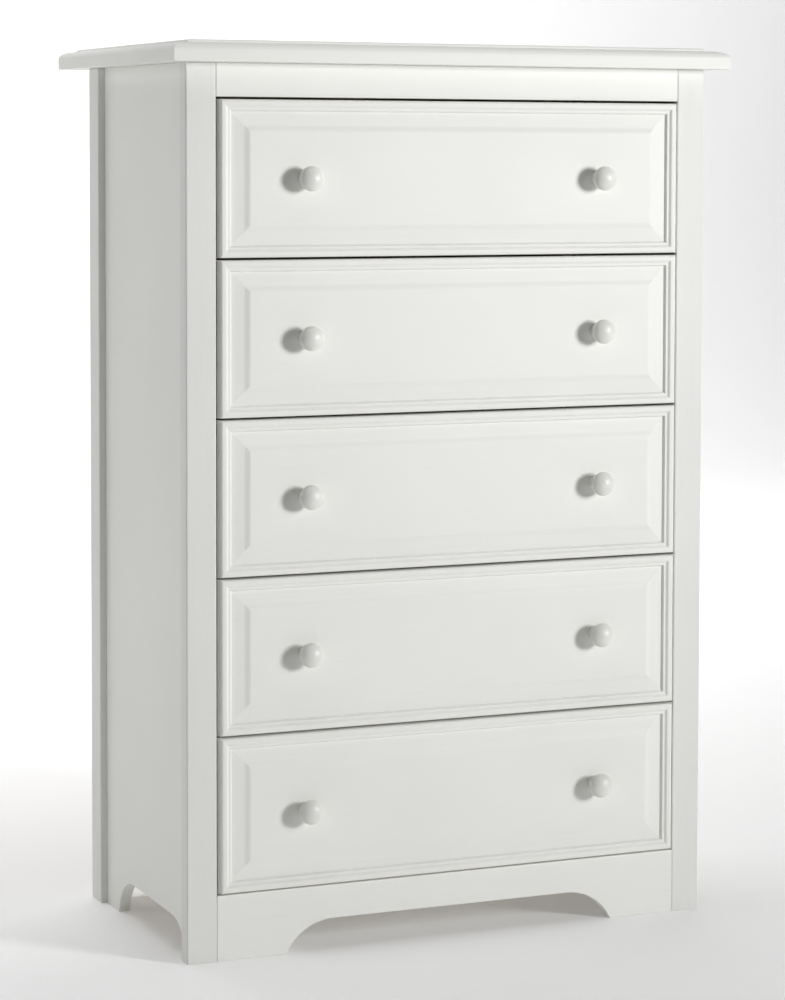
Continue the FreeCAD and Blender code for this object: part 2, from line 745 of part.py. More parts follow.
def drawer_side(number, side):
    """A drawer side with a groove for the bottom on its inner face."""
    body = board(
        f"drawer_{number}_{side}_side",
        mirrored(side, "Layout.box_half", "Sizes.box_side_thickness"),
        "Layout.box_front_y",
        box_base(number),
        "Sizes.box_side_thickness",
        "Layout.box_depth",
        "Sizes.box_height",
    )
    groove = new_sketch(body, "XZ_Plane")
    inner = "Sizes.box_side_thickness" if side == "left" else "0"
    floor = "Sizes.box_side_thickness - Sizes.groove_depth" if side == "left" else "Sizes.groove_depth"
    low = "Sizes.bottom_rise - Sizes.groove_clearance"
    high = "Sizes.bottom_rise + Sizes.bottom_thickness + Sizes.groove_clearance"
    rectangle(groove, floor, low, inner, high)
    cut_through(body, groove)
    return body


def knob(number, side):
    """A turned knob: a collar, a neck and a flattened ball, with a hole for its screw."""
    body = new_body(f"drawer_{number}_{side}_knob")
    hole = "(Sizes.screw_diameter + Sizes.screw_clearance) / 2"
    hole_end = "Sizes.screw_grip + Sizes.screw_clearance"
    neck = "Sizes.knob_neck_diameter / 2"
    turn_round(
        body,
        [
            (hole, "0"),
            ("Sizes.knob_collar_diameter / 2", "0"),
            ("Sizes.knob_collar_diameter / 2", "Sizes.knob_collar_height"),
            (neck, "Sizes.knob_collar_height"),
            (neck, "Sizes.knob_neck_height"),
            ("Layout.knob_radius", "Layout.knob_girth_height"),
            ("0", "Sizes.knob_projection"),
            ("0", hole_end),
            (hole, hole_end),
        ],
        {
            4: (
                "Layout.knob_radius - Sizes.knob_shoulder_radius",
                "Layout.knob_girth_height",
                "Sizes.knob_shoulder_radius",
                1,
            ),
            5: ("0", "Sizes.knob_projection - Layout.knob_dome_radius", "Layout.knob_dome_radius", 1),
        },
    )
    return body


def knob_screw(number, side):
    """A machine screw whose round head bears on the back of the drawer front."""
    body = new_body(f"drawer_{number}_{side}_knob_screw")
    radius = "Sizes.screw_diameter / 2"
    turn_round(
        body,
        [
            ("0", f"-{radius}"),
            ("Sizes.screw_diameter * 0.7", f"-{radius}"),
            ("Sizes.screw_diameter", f"-{radius} * 0.5"),
            ("Sizes.screw_diameter", "0"),
            (radius, "0"),
            (radius, "Sizes.front_thickness + Sizes.screw_grip"),
            ("0", "Sizes.front_thickness + Sizes.screw_grip"),
        ],
    )
    return body


def drawer_rail(number, side):
    """The drawer's runner: a web on the drawer side, a flange under it, a sliding flange and a stop lug."""
    body = new_body(f"drawer_{number}_{side}_rail")
    inward = "" if side == "left" else "-"
    wrap = f"{inward}Sizes.rail_wrap"
    outer = "" if side == "right" else "-"
    web = f"{outer}Sizes.runner_gauge"
    reach = f"{outer}Sizes.rail_flange_reach"
    flange_low = "Sizes.rail_flange_height"
    flange_high = "Sizes.rail_flange_height + Sizes.runner_gauge"
    section = new_sketch(body)
    outline(
        section,
        [
            (wrap, "-Sizes.runner_gauge"),
            (wrap, "0"),
            ("0", "0"),
            ("0", "Sizes.rail_height"),
            (web, "Sizes.rail_height"),
            (web, flange_high),
            (reach, flange_high),
            (reach, flange_low),
            (web, flange_low),
            (web, "-Sizes.runner_gauge"),
        ],
    )
    pad(body, section, "Layout.rail_length")
    lug = new_sketch(body)
    lug_high = f"{flange_high} + Sizes.channel_lip"
    outline(lug, [(web, flange_low), (reach, flange_low), (reach, lug_high), (web, lug_high)])
    pad(body, lug, "Sizes.stop_thickness")
    out = -1 if side == "left" else 1
    return place(body, f"{out} * Layout.box_half", "Layout.rail_rear_y", box_base(number), FACING_FRONT)


for number in DRAWERS:
    nodes.append(drawer_front(number))
    for side in SIDES:
        nodes.append(drawer_side(number, side))

    # Drawer back: between the sides, above the bottom.
    back_low = "(Sizes.bottom_rise + Sizes.bottom_thickness + Sizes.groove_clearance)"
    nodes.append(
        board(
            f"drawer_{number}_back",
            "Sizes.box_side_thickness - Layout.box_half",
            "Layout.box_front_y + Layout.box_depth - Sizes.box_side_thickness",
            f"{box_base(number)} + {back_low}",
            "2 * (Layout.box_half - Sizes.box_side_thickness)",
            "Sizes.box_side_thickness",
            f"Sizes.box_height - Sizes.box_back_drop - {back_low}",
        )
    )
    nodes.append(
        board(
            f"drawer_{number}_bottom",
            "-Layout.bottom_width / 2",
            "Layout.box_front_y",
            f"{box_base(number)} + Sizes.bottom_rise",
            "Layout.bottom_width",
            "Layout.box_depth",
            "Sizes.bottom_thickness",
        )
    )
    knobs = []
    screws = []
    rails = []
    for side in SIDES:
        out = -1 if side == "left" else 1
        knob_x = f"{out} * Sizes.knob_spacing / 2"
        knob_z = f"{drawer_base(number)} + Layout.front_height / 2"
        turned = knob(number, side)
        knobs.append(place(turned, knob_x, "Layout.front_y - Sizes.front_proud", knob_z, FACING_FRONT))
        screws.append(place(knob_screw(number, side), knob_x, "Layout.box_front_y", knob_z, FACING_FRONT))
        rails.append(drawer_rail(number, side))
    nodes.append(group(f"drawer_{number}_knobs", knobs))
    nodes.append(group(f"drawer_{number}_knob_screws", screws))
    nodes.append(group(f"drawer_{number}_runners", rails))

# ---------------------------------------------------------------- checks and files

doc.recompute()
for item in doc.Objects:
    if "Invalid" in item.State or "Error" in item.State:
        raise RuntimeError(f"{item.Label} could not be built: {item.State}")
for node in nodes:
    if node.Shape.isNull() or not node.Shape.isValid() or not node.Shape.Solids:
        raise RuntimeError(f"{node.Label} is not a valid solid")

os.makedirs("parts", exist_ok=True)
for node in nodes:
    node.Shape.exportStep(f"parts/{node.Label}.step")
print(len(nodes), "sub-parts written")
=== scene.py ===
import math

import bmesh
import bpy
from bpy.props import FloatProperty, FloatVectorProperty, PointerProperty
from bpy.types import Operator, Panel, PropertyGroup
from mathutils import Matrix, Vector


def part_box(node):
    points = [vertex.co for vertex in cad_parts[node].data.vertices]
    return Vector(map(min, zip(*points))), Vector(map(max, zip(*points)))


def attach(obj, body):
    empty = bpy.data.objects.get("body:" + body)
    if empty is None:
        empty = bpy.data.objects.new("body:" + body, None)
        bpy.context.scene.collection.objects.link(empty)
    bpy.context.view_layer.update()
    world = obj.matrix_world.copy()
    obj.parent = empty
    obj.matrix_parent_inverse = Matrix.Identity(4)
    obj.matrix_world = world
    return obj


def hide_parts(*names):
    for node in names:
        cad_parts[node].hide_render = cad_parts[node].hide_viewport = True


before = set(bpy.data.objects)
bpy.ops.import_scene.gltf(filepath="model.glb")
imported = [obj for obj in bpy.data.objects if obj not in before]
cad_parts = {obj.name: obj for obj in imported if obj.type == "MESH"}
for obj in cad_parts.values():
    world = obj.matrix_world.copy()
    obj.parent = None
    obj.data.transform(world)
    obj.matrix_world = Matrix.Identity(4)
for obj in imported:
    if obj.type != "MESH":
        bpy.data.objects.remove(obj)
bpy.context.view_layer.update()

bl_info = {
    "name": "Tall Chest of Drawers",
    "version": (1, 0, 0),
    "blender": (4, 5, 0),
    "location": "View3D > Sidebar > Chest",
    "description": "The painted wood, hardware and studio of a tall chest with five drawers",
    "category": "Add Mesh",
}

DRAWERS = range(1, 6)
SIDES = ("left", "right")
UP = Vector((0, 0, 1))
FRONT = Vector((0, -1, 0))
MM = 0.001
NEAR = 0.01 * MM  # points that lie closer than this are one point
AT_END = 1 * MM  # an edge this close to the end of a board belongs to that end
LEAST_RUN = 0.1 * MM  # an edge that runs less than this along an axis is square to it
FLAT_TURN = math.radians(1)  # faces that meet at less than this are one flat face
CORNER_TURN = math.radians(30)  # faces that meet at more than this make a corner of a board
SHARP_TURN = math.radians(40)  # faces that meet at more than this are shaded with a crisp edge


def linear(code):
    """The linear colour of an sRGB hex code such as "#F0EFEA"."""
    parts = [int(code[place:place + 2], 16) / 255 for place in (1, 3, 5)]
    return tuple(part / 12.92 if part <= 0.04045 else ((part + 0.055) / 1.055) ** 2.4 for part in parts)


# ---------------------------------------------------------------- sizes and colours


def length(name, millimetres, description):
    return FloatProperty(
        name=name, description=description, default=millimetres * MM, precision=4, unit="LENGTH",
        subtype="DISTANCE",
    )


def angle(name, degrees, description):
    return FloatProperty(
        name=name, description=description, default=math.radians(degrees), unit="ROTATION", subtype="ANGLE",
    )


def power(name, watts, description):
    return FloatProperty(name=name, description=description, default=watts, min=0, unit="POWER")


def colour(name, code, description):
    return FloatVectorProperty(
        name=name, description=description, default=linear(code), min=0, max=1, size=3, subtype="COLOR",
    )


class TopSizes(PropertyGroup):
    """The moulded edge of the top panel, from its lower arris upwards."""

    band_height: length("Band", 15, "Upright lower band of the edge")
    round_width: length("Round, width", 20.5, "Round part of the edge, measured inwards")
    round_height: length("Round, height", 10, "Round part of the edge, measured upwards")
    ledge_width: length("Ledge", 6, "Flat ledge between the round part and the lip")
    lip_width: length("Lip, width", 5.5, "Soft lip from the ledge to the upper face, measured inwards")
    arris: length("Lower arris", 1.2, "Rounding of the lower edges")


class FrontSizes(PropertyGroup):
    """The moulding of a drawer front, from its edge inwards."""

    edge_round: length("Outer rounding", 3.5, "Rounded outer edge")
    band_end: length("Band", 7, "Outer edge to the end of the flat band")
    bead_start: length("First step", 11.2, "Outer edge to the foot of the first soft step")
    bead_drop: length("Bead depth", 2.5, "Flat band down to the bead")
    bead_end: length("Bead", 13.3, "Outer edge to the end of the bead")
    quirk: length("Second step", 15.9, "Outer edge to the foot of the second soft step")
    quirk_drop: length("Depth", 6, "Flat band down to the foot of the bevel")
    bevel_start: length("Bevel, start", 16.6, "Outer edge to the foot of the bevel")
    bevel_end: length("Bevel, end", 31.5, "Outer edge to the end of the bevel")
    bevel_drop: length("Bevel depth", 4.4, "Flat band down to the end of the bevel")
    field_inset: length("Field", 42.5, "Outer edge to the flat field")
    field_drop: length("Field depth", 2.0, "Flat band down to the field")
    tongue: length("Tongue", 2.6, "Set-back tongue at each end, which closes most of the gap to the stile")
    tongue_depth: length("Tongue depth", 1.2, "Face of the stile back to the tongue")


class KnobSizes(PropertyGroup):
    """The turned knob. Its diameter and its projection come from the frame."""

    collar_diameter: length("Collar", 22, "Collar against the drawer front")
    collar_height: length("Collar, height", 2.5, "Thickness of the collar")
    neck_diameter: length("Neck", 18.4, "Thinnest place of the neck")
    neck_height: length("Neck, height", 7.5, "Drawer front to the underside of the ball")
    girth_height: length("Girth", 17.5, "Drawer front to the widest ring of the ball")


class BoardSizes(PropertyGroup):
    """How much the edges of the boards are rounded over."""

    leg_arris: length("Legs", 2, "Long edges of the front stiles and the rear posts")
    panel_arris: length("Panels", 1.2, "Edges of side panels, rails and apron")
    box_arris: length("Drawer boxes", 2.4, "Edges of drawer sides and backs")
    frame_arris: length("Hidden frame", 0.8, "Edges of cleats, battens, blocks and rear rails")
    sheet_arris: length("Sheets", 0.4, "Edges of hardboard")
    steel_arris: length("Runners", 0.25, "Bends and edges of the steel runners")


class Finishes(PropertyGroup):
    """The colours of the finishes."""

    paint: colour("White paint", "#F3F3EF", "Satin paint of the drawer fronts, the top and the panels")
    # The legs take the same white paint made darker all over. This is painted shade, not a duller coat of
    # another paint.
    shaded_leg_paint: colour("Leg paint", "#EAEAE7", "The same paint on the legs, in a duller coat")
    knob_paint: colour("Knob paint", "#EBEBE6", "Semi-gloss paint of the knobs")
    hardboard: colour("Hardboard", "#8C6A47", "Bare back panel")
    foil: colour("Drawer bottom", "#E6E2D8", "Pale printed face of the drawer bottoms")
    pine: colour("Pine", "#D9B98A", "Planed softwood of the hidden frame")
    birch: colour("Birch", "#E0C79C", "Clear lacquered drawer boxes")
    enamel: colour("Enamel", "#E4E3DD", "Epoxy enamel of the runners")
    zinc: colour("Zinc", "#B4B8BA", "Plating of the screws")
    paper: colour("Floor", "#FBFBFB", "Seamless paper of the studio")


class Studio(PropertyGroup):
    """The camera and the lights."""

    camera_x: length("Camera, across", -1599.3, "Camera from the middle of the chest, to the right")
    camera_y: length("Camera, distance", 3670.8, "Camera in front of the face of the stiles")
    camera_z: length("Camera, height", 1062.8, "Camera above the floor")
    camera_turn: angle("Camera, turn", 23.967, "Turned to the right of straight ahead")
    camera_tilt: angle("Camera, tilt", -3.495, "Tilted up from level")
    camera_roll: angle("Camera, roll", 0.218, "Leaning to the left")
    camera_lens: FloatProperty(
        name="Camera, lens", description="Focal length in millimetres", default=108.24, min=1, unit="CAMERA",
    )
    shift_across: FloatProperty(
        name="Camera, shift across", description="Shift as a share of the longer side of the frame",
        default=-0.0837, subtype="FACTOR",
    )
    shift_up: FloatProperty(
        name="Camera, shift up", description="Shift as a share of the longer side of the frame",
        default=-0.1687, subtype="FACTOR",
    )
    key_angle: angle("Key light, angle", 37.5, "To the right of straight in front of the chest")
    key_height: length("Key light, height", 1350, "Middle of the key light above the floor")
    key_distance: length("Key light, distance", 4000, "Key light to the middle of the chest's front")
    key_spread: angle("Key light, beam", 78, "Beam of the tall softbox on the right, kept narrow by its grid")
    key_power: power("Key light", 24, "Strength of the tall softbox on the right")
    top_power: power("Overhead light", 40, "Strength of the wide light above the chest")
    side_power: power("Side light", 20, "Strength of the light beside the chest, on the left")
    wall_power: power("Backdrop light", 297, "Strength of the light on the paper behind the chest")
    paper_glow: FloatProperty(
        name="Paper glow", description="Light that the brightly lit paper gives back", default=0.11, min=0,
    )
    room_light: FloatProperty(
        name="Room light", description="Faint light from the room all round", default=0.02, min=0,
    )


GROUPS = {
    "chest_top": TopSizes,
    "chest_front": FrontSizes,
    "chest_knob": KnobSizes,
    "chest_board": BoardSizes,
    "chest_finish": Finishes,
    "chest_studio": Studio,
}


# ---------------------------------------------------------------- materials


def add(tree, kind, inputs=None, **settings):
    """Adds a shader node. An input is either a value or the socket of another node that feeds it."""
    node = tree.nodes.new("ShaderNode" + kind)
    for name, value in settings.items():
        setattr(node, name, value)
    for name, value in (inputs or {}).items():
        if isinstance(value, bpy.types.NodeSocket):
            tree.links.new(value, node.inputs[name])
        else:
            node.inputs[name].default_value = value
    return node


def opaque(shade, factor=1.0):
    """A colour made darker or lighter by a factor, with a full alpha."""
    return tuple(part * factor for part in shade) + (1.0,)


def start(name):
    """An empty material, its tree, its shader and the object's own coordinates in metres."""
    material = bpy.data.materials.new(name)
    material.use_nodes = True
    tree = material.node_tree
    return material, tree, tree.nodes["Principled BSDF"], add(tree, "TexCoord").outputs["Object"]


def stretched(tree, place, along, ratio):
    """Coordinates in which a pattern is ratio times longer along one axis, as grain is."""
    scale = [1.0, 1.0, 1.0]
    scale["XYZ".index(along)] = 1 / ratio
    return add(tree, "Mapping", {"Vector": place, "Scale": scale}).outputs["Vector"]


def tinted(tree, factor, low, high):
    """A colour between two, by a factor from 0 to 1."""
    return add(tree, "Mix", {0: factor, 6: low, 7: high}, data_type="RGBA").outputs[2]


def between(tree, value, low, high):
    """A texture's middle range stretched to lie between two numbers."""
    inputs = {"Value": value, "From Min": 0.3, "From Max": 0.7, "To Min": low, "To Max": high}
    return add(tree, "MapRange", inputs).outputs["Result"]


def raise_grain(tree, shader, height, depth, strength):
    """Gives the shader a relief, depth metres deep."""
    bump = add(tree, "Bump", {"Height": height, "Distance": depth, "Strength": strength})
    tree.links.new(bump.outputs["Normal"], shader.inputs["Normal"])


def satin_paint(along, is_shaded_leg=False):
    """Satin white lacquer, sprayed on sanded hardwood: it looks soft and even, with long shallow streaks
    of filled grain that catch a glancing light, and a slightly uneven sheen."""
    # Legs get a copy of this paint that is darker all over, which paints shade on them.
    name = ("dull_" if is_shaded_leg else "satin_") + "white_lacquer_grain_" + along.lower()
    if name in bpy.data.materials:
        return bpy.data.materials[name]
    finishes = bpy.context.scene.chest_finish
    shade = finishes.shaded_leg_paint if is_shaded_leg else finishes.paint
    material, tree, shader, place = start(name)
    grain_width = 2.2 * MM  # real grain is about 0.8 mm wide, which is too fine to show
    cloud_size = 180 * MM
    long = stretched(tree, place, along, ratio=45)
    grain = add(tree, "TexNoise", {"Vector": long, "Scale": 1 / grain_width, "Detail": 3.0, "Roughness": 0.6})
    cloud = add(tree, "TexNoise", {"Vector": place, "Scale": 1 / cloud_size, "Detail": 2.0})
    veil = tinted(tree, between(tree, cloud.outputs["Fac"], 0, 1), opaque(shade, 0.975), opaque(shade))
    line = add(tree, "MapRange", {"Value": grain.outputs["Fac"], "From Min": 0.42, "From Max": 0.3})
    streak = add(tree, "Math", {0: line.outputs["Result"], 1: 0.35}, operation="MULTIPLY")
    base = tinted(tree, streak.outputs["Value"], veil, opaque(shade, 0.93))
    tree.links.new(base, shader.inputs["Base Color"])
    tree.links.new(between(tree, grain.outputs["Fac"], 0.48, 0.58), shader.inputs["Roughness"])
    raise_grain(tree, shader, grain.outputs["Fac"], 0.25 * MM, 0.35)
    shader.inputs["IOR"].default_value = 1.5
    return material


def knob_paint():
    """Semi-gloss white enamel on turned beech: it shows a small soft highlight and a faint orange peel."""
    name = "semi_gloss_white_enamel"
    if name in bpy.data.materials:
        return bpy.data.materials[name]
    shade = bpy.context.scene.chest_finish.knob_paint
    material, tree, shader, place = start(name)
    peel_size = 1.6 * MM  # real orange peel is about 0.6 mm, which is too fine to show
    dust_size = 9 * MM
    peel = add(tree, "TexNoise", {"Vector": place, "Scale": 1 / peel_size, "Detail": 1.0})
    dust = add(tree, "TexNoise", {"Vector": place, "Scale": 1 / dust_size, "Detail": 2.0})
    factor = between(tree, dust.outputs["Fac"], 0, 1)
    tree.links.new(tinted(tree, factor, opaque(shade, 0.96), opaque(shade)), shader.inputs["Base Color"])
    tree.links.new(between(tree, dust.outputs["Fac"], 0.34, 0.42), shader.inputs["Roughness"])
    raise_grain(tree, shader, peel.outputs["Fac"], 0.08 * MM, 0.3)
    shader.inputs["IOR"].default_value = 1.5
    return material


def hardboard():
    """Bare hardboard, smooth side out: brown pressed fibre with pale and dark flecks and a dull gleam."""
    shade = bpy.context.scene.chest_finish.hardboard
    material, tree, shader, place = start("bare_hardboard")
    fleck_size = 3 * MM  # real fibres are about 1 mm, drawn coarser to show
    patch_size = 90 * MM
    fleck = add(
        tree, "TexNoise", {"Vector": place, "Scale": 1 / fleck_size, "Detail": 5.0, "Distortion": 1.5},
    )
    patch = add(tree, "TexNoise", {"Vector": place, "Scale": 1 / patch_size, "Detail": 2.0})
    fibre = tinted(tree, between(tree, fleck.outputs["Fac"], 0, 1), opaque(shade, 0.72), opaque(shade, 1.25))
    tone = between(tree, patch.outputs["Fac"], 0.1, 0.5)
    tree.links.new(tinted(tree, tone, fibre, opaque(shade, 0.85)), shader.inputs["Base Color"])
    tree.links.new(between(tree, fleck.outputs["Fac"], 0.5, 0.7), shader.inputs["Roughness"])
    raise_grain(tree, shader, fleck.outputs["Fac"], 0.2 * MM, 0.4)
    return material


def foiled_board():
    """Hardboard with a pale printed foil: smooth and even, with a hint of a printed straight grain."""
    shade = bpy.context.scene.chest_finish.foil
    material, tree, shader, place = start("foil_faced_hardboard")
    print_width = 4 * MM
    long = stretched(tree, place, "Y", ratio=60)
    print_grain = add(tree, "TexNoise", {"Vector": long, "Scale": 1 / print_width, "Detail": 3.0})
    factor = between(tree, print_grain.outputs["Fac"], 0, 1)
    tree.links.new(tinted(tree, factor, opaque(shade, 0.93), opaque(shade)), shader.inputs["Base Color"])
    tree.links.new(between(tree, print_grain.outputs["Fac"], 0.42, 0.5), shader.inputs["Roughness"])
    raise_grain(tree, shader, print_grain.outputs["Fac"], 0.05 * MM, 0.3)
    return material


def sawn_wood(name, shade, along, ring_width, contrast, roughness):
    """Planed wood: pale early growth and darker late growth in long wavering bands, with fine pores."""
    full_name = f"{name}_grain_{along.lower()}"
    if full_name in bpy.data.materials:
        return bpy.data.materials[full_name]
    material, tree, shader, place = start(full_name)
    pore_width = 0.9 * MM
    wave_period = 0.31  # metres from band to band, when the scale is 1
    rings_place = stretched(tree, place, along, ratio=14)
    pores_place = stretched(tree, place, along, ratio=60)
    waver = {"Distortion": 5.0, "Detail": 3.0, "Detail Scale": 0.5}
    rings = add(
        tree, "TexWave", {"Vector": rings_place, "Scale": wave_period / ring_width, **waver},
        bands_direction="DIAGONAL",
    )
    pores = add(tree, "TexNoise", {"Vector": pores_place, "Scale": 1 / pore_width, "Detail": 3.0})
    late = add(tree, "Math", {0: rings.outputs["Fac"], 1: 2.2}, operation="POWER").outputs["Value"]
    band = tinted(tree, late, opaque(shade, 1.06), opaque(shade, 1 - contrast))
    pore = add(tree, "MapRange", {"Value": pores.outputs["Fac"], "From Min": 0.45, "From Max": 0.3})
    depth = add(tree, "Math", {0: pore.outputs["Result"], 1: 0.5}, operation="MULTIPLY").outputs["Value"]
    tree.links.new(tinted(tree, depth, band, opaque(shade, 0.78 - contrast / 2)), shader.inputs["Base Color"])
    sheen = between(tree, pores.outputs["Fac"], roughness + 0.08, roughness - 0.04)
    tree.links.new(sheen, shader.inputs["Roughness"])
    raise_grain(tree, shader, pores.outputs["Fac"], 0.2 * MM, 0.4)
    return material


def pine(along):
    """Planed pine: honey bands of late growth about 5 mm apart, on a dull raw face."""
    return sawn_wood("planed_pine", bpy.context.scene.chest_finish.pine, along, 5 * MM, 0.3, 0.62)


def birch(along):
    """Clear lacquered birch: pale, close and even, with faint bands and a low sheen."""
    return sawn_wood("lacquered_birch", bpy.context.scene.chest_finish.birch, along, 9 * MM, 0.05, 0.4)


def enamelled_steel():
    """Epoxy enamelled steel: an off-white skin, glossier than paint on wood, with rubbed grey tracks."""
    shade = bpy.context.scene.chest_finish.enamel
    material, tree, shader, place = start("epoxy_enamelled_steel")
    peel_size = 2 * MM
    rub_width = 1.2 * MM
    peel = add(tree, "TexNoise", {"Vector": place, "Scale": 1 / peel_size, "Detail": 2.0})
    rub_place = stretched(tree, place, "Y", ratio=80)
    rub = add(tree, "TexNoise", {"Vector": rub_place, "Scale": 1 / rub_width, "Detail": 2.0})
    worn = add(
        tree, "MapRange", {"Value": rub.outputs["Fac"], "From Min": 0.6, "From Max": 0.75, "To Max": 0.5},
    )
    base = tinted(tree, worn.outputs["Result"], opaque(shade), opaque(shade, 0.72))
    tree.links.new(base, shader.inputs["Base Color"])
    tree.links.new(between(tree, rub.outputs["Fac"], 0.25, 0.36), shader.inputs["Roughness"])
    raise_grain(tree, shader, peel.outputs["Fac"], 0.05 * MM, 0.3)
    return material


def zinc_plate():
    """Zinc-plated steel: a cool metal with a slight crystal bloom and a brushed-off sheen."""
    shade = bpy.context.scene.chest_finish.zinc
    material, tree, shader, place = start("zinc_plated_steel")
    bloom_size = 1.5 * MM
    bloom = add(tree, "TexVoronoi", {"Vector": place, "Scale": 1 / bloom_size})
    haze = add(tree, "TexNoise", {"Vector": place, "Scale": 1 / bloom_size, "Detail": 3.0})
    factor = bloom.outputs["Distance"]
    tree.links.new(tinted(tree, factor, opaque(shade, 0.9), opaque(shade, 1.08)), shader.inputs["Base Color"])
    tree.links.new(between(tree, haze.outputs["Fac"], 0.28, 0.42), shader.inputs["Roughness"])
    shader.inputs["Metallic"].default_value = 1.0
    return material


def studio_paper():
    """Seamless white paper: matte, with a barely visible fibre."""
    shade = bpy.context.scene.chest_finish.paper
    material, tree, shader, place = start("seamless_white_paper")
    fibre_size = 25 * MM
    fibre = add(tree, "TexNoise", {"Vector": place, "Scale": 1 / fibre_size, "Detail": 3.0})
    factor = between(tree, fibre.outputs["Fac"], 0, 1)
    tree.links.new(tinted(tree, factor, opaque(shade, 0.99), opaque(shade)), shader.inputs["Base Color"])
    shader.inputs["Roughness"].default_value = 0.95
    shader.inputs["Specular IOR Level"].default_value = 0.1
    shader.inputs["Emission Color"].default_value = (1, 1, 1, 1)
    shader.inputs["Emission Strength"].default_value = bpy.context.scene.chest_studio.paper_glow
    return material


# ---------------------------------------------------------------- modelling tools


def round_over(bm, edges, radius, segments):
    """Rounds edges over, in a number of facets."""
    bmesh.ops.bevel(
        bm, geom=list(edges), offset=radius, offset_type="OFFSET", segments=segments, profile=0.5,
        affect="EDGES", material=-1, clamp_overlap=True,
    )


def crisp(bm, is_mitre=None):
    """Shades everything smooth but sharp edges and mitres."""
    for face in bm.faces:
        face.smooth = True
    for edge in bm.edges:
        turn = edge.calc_face_angle(math.pi)
        edge.smooth = turn < SHARP_TURN and not (is_mitre and is_mitre(edge))


def slants(first, second):
    """A test for mitre edges: they run along both of these axes at once."""
    def test(edge):
        run = edge.verts[1].co - edge.verts[0].co
        return abs(run[first]) > LEAST_RUN and abs(run[second]) > LEAST_RUN
    return test


def finish_piece(bm, name, body, nodes, material, is_mitre=None):
    """Makes a piece from a finished bmesh. It rides on a body and stands for CAD nodes."""
    if not all(edge.is_manifold for edge in bm.edges):
        raise RuntimeError(f"{name} is not closed")
    crisp(bm, is_mitre)
    mesh = bpy.data.meshes.new(name)
    bm.to_mesh(mesh)
    bm.free()
    mesh.materials.append(material)
    piece = bpy.data.objects.new(name, mesh)
    bpy.context.scene.collection.objects.link(piece)
    even = piece.modifiers.new("Even shading", "WEIGHTED_NORMAL")
    even.keep_sharp = True
    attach(piece, body)
    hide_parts(*nodes)


def from_node(node):
    """A merged copy of a CAD node's mesh, with its flat faces in one piece each."""
    bm = bmesh.new()
    bm.from_mesh(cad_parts[node].data)
    bmesh.ops.remove_doubles(bm, verts=bm.verts, dist=NEAR)
    bmesh.ops.dissolve_limit(
        bm, angle_limit=FLAT_TURN, verts=bm.verts, edges=bm.edges, use_dissolve_boundaries=False,
    )
    return bm


def corners_of(bm):
    """The edges where two faces meet at a corner."""
    return [edge for edge in bm.edges if edge.calc_face_angle(0) > CORNER_TURN]


def eased_board(node, name, body, material, arris, segments=3):
    """A board as the frame has it, with its edges rounded over."""
    bm = from_node(node)
    round_over(bm, corners_of(bm), arris, segments)
    finish_piece(bm, name, body, [node], material)


def arc(centre, radius, first, last, steps):
    """Points on an arc, from one angle to another in degrees, without its first point."""
    for step in range(1, steps + 1):
        turn = math.radians(first + (last - first) * step / steps)
        yield centre[0] + radius[0] * math.cos(turn), centre[1] + radius[1] * math.sin(turn)


def soft_step(first, last, steps=6):
    """Points on an S-shaped step from one point to another, without its first point."""
    for step in range(1, steps + 1):
        share = step / steps
        fall = (1 - math.cos(math.pi * share)) / 2
        yield first[0] + (last[0] - first[0]) * share, first[1] + (last[1] - first[1]) * fall


def run_moulding(bm, face, profile):
    """Insets one face ring by ring along a profile of (inwards, outwards) points, so corners are mitred."""
    for before, after in zip(profile, profile[1:]):
        bmesh.ops.inset_region(
            bm, faces=[face], thickness=after[0] - before[0], depth=after[1] - before[1],
            use_even_offset=True, use_boundary=True,
        )


def box_with(bm, low, high):
    """Adds a box to a bmesh."""
    verts = bmesh.ops.create_cube(bm, size=1)["verts"]
    bmesh.ops.scale(bm, vec=high - low, verts=verts)
    bmesh.ops.translate(bm, vec=(low + high) / 2, verts=verts)


def facing(bm, direction):
    """The largest face that looks in a direction."""
    bm.normal_update()
    least_cosine = 0.99
    looking = [face for face in bm.faces if face.normal.dot(direction) > least_cosine]
    return max(looking, key=lambda face: face.calc_area())


def ease_top(bm, high, arris):
    """Rounds over the edges of a drawer board's upper end."""
    top = [edge for edge in bm.edges if all(vert.co.z > high.z - NEAR for vert in edge.verts)]
    round_over(bm, top, arris, segments=4)


# ---------------------------------------------------------------- carcass


